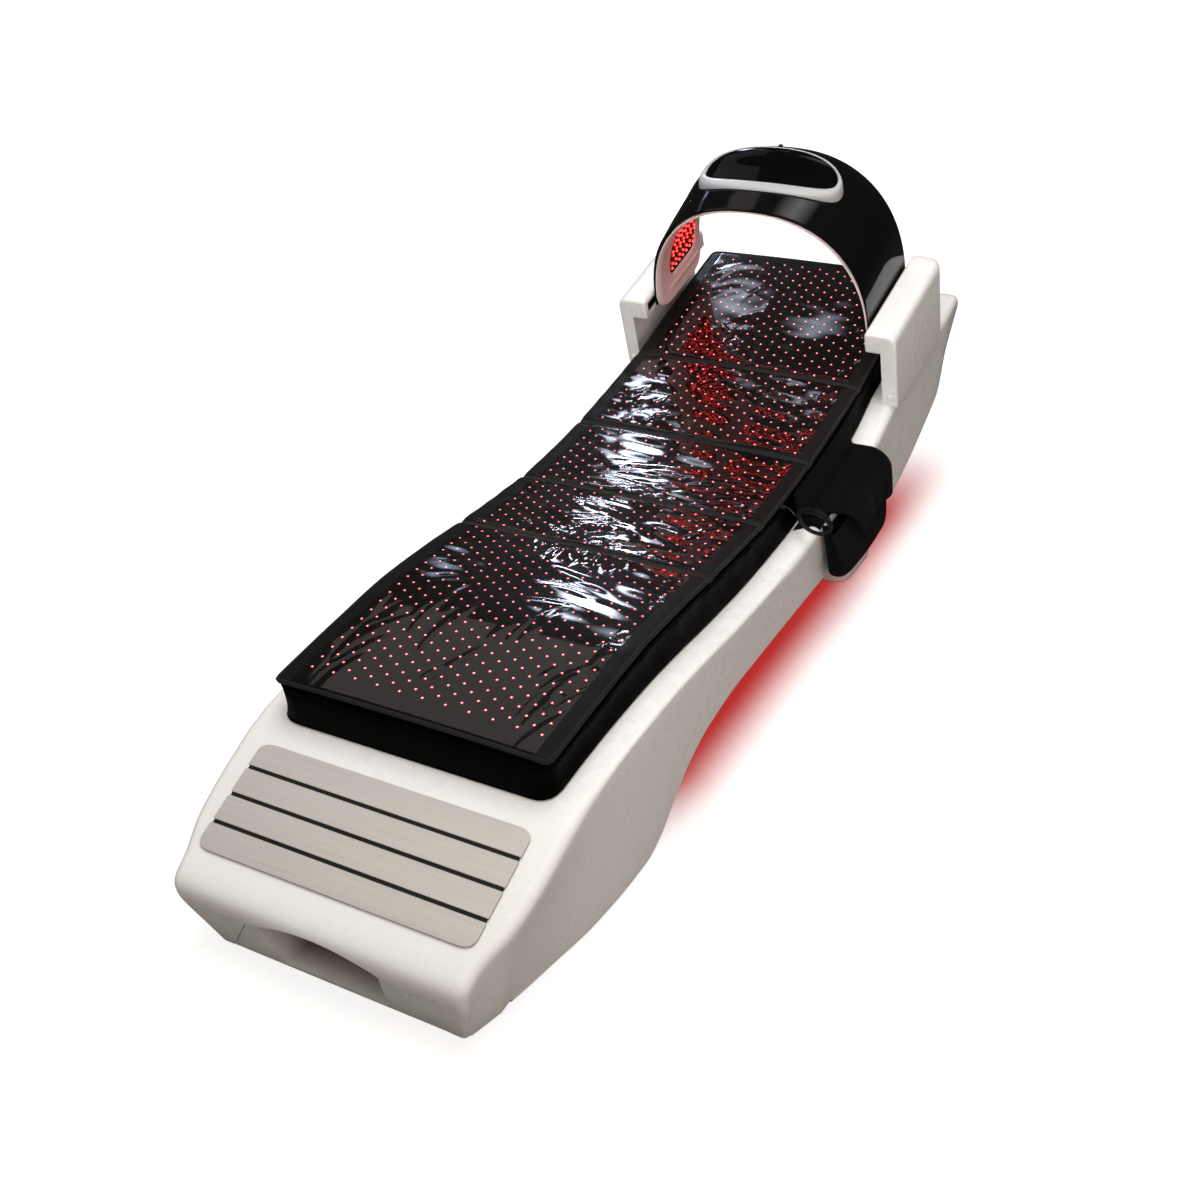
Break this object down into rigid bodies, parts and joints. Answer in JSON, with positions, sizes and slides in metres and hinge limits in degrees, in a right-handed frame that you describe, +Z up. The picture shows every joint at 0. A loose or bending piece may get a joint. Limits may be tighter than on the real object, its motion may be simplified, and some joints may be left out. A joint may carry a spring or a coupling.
{
  "type": "red light therapy bed",
  "caption": "White wave-shaped red light therapy bed with an LED mat under clear film, brushed foot slats and a black sliding LED dome over the head end.",
  "frame": {"origin": "centre of the pedestal's base, on the floor", "axes": "+X to the side with the pouch, +Y from the foot to the head, +Z up"},
  "size_m": [0.7428, 2.3133, 0.9502],
  "materials": {
    "shell_white": "semi-gloss white moulding",
    "brushed_slat": "brushed along the slat",
    "matt_black": "matt black",
    "gloss_black": "polished black",
    "console_glass": "polished black glass",
    "silver_bezel": "satin silver",
    "liner_pale": "pale satin",
    "led_board": "board with red LEDs",
    "slide_metal": "satin",
    "frame_paint": "dark grey paint",
    "cushion_cover": "black vinyl-coated fabric",
    "mat_vinyl": "black vinyl with red LEDs",
    "clear_film": "clear wrinkled film",
    "felt": "black felt",
    "cable_rubber": "shiny black",
    "glide_rubber": "matt"
  },
  "bodies": {
    "bed": {"base_shell": "shell_white", "front_panel": "shell_white", "under_tray": "shell_white", "rear_pedestal": "shell_white", "armrest_left": "shell_white", "armrest_right": "shell_white", "armrest_cap_left": "shell_white", "armrest_cap_right": "shell_white", "foot_slat_1": "brushed_slat", "foot_slat_2": "brushed_slat", "foot_slat_3": "brushed_slat", "foot_slat_4": "brushed_slat", "power_supply": "brushed_slat", "foot_backing": "matt_black", "mains_inlet": "matt_black", "led_driver": "matt_black", "mat_controller": "matt_black", "mat_strain_relief": "matt_black", "glow_strip_left": "led_board", "glow_strip_right": "led_board", "slide_rail_left": "slide_metal", "slide_rail_right": "slide_metal", "frame_rail_left": "frame_paint", "frame_rail_right": "frame_paint", "frame_leg_left": "frame_paint", "frame_leg_right": "frame_paint", "deck_bearer_front": "frame_paint", "deck_bearer_middle": "frame_paint", "deck_bearer_rear": "frame_paint", "mattress": "cushion_cover", "led_mat": "mat_vinyl", "mat_cover_film": "clear_film", "pouch_flap": "felt", "pouch_pocket": "felt", "mat_cable_lead": "cable_rubber", "mat_cable_coil": "cable_rubber", "mat_cable_tail": "cable_rubber", "floor_glide_front_left": "glide_rubber", "floor_glide_front_right": "glide_rubber", "floor_glide_rear_left": "glide_rubber", "floor_glide_rear_right": "glide_rubber"},
    "dome": {"dome_skin": "gloss_black", "dome_liner": "liner_pale", "led_board_left": "led_board", "led_board_right": "led_board", "led_board_top": "led_board", "console_bezel": "silver_bezel", "console_glass": "console_glass", "dome_gland": "matt_black", "carriage_left": "slide_metal", "carriage_right": "slide_metal"}
  },
  "joints": [
    {"name": "dome_slide", "type": "slide", "parent": "bed", "child": "dome", "axis": [0, 0.9659, 0.2588], "range_m": [-0.1, 0.08]}
  ]
}
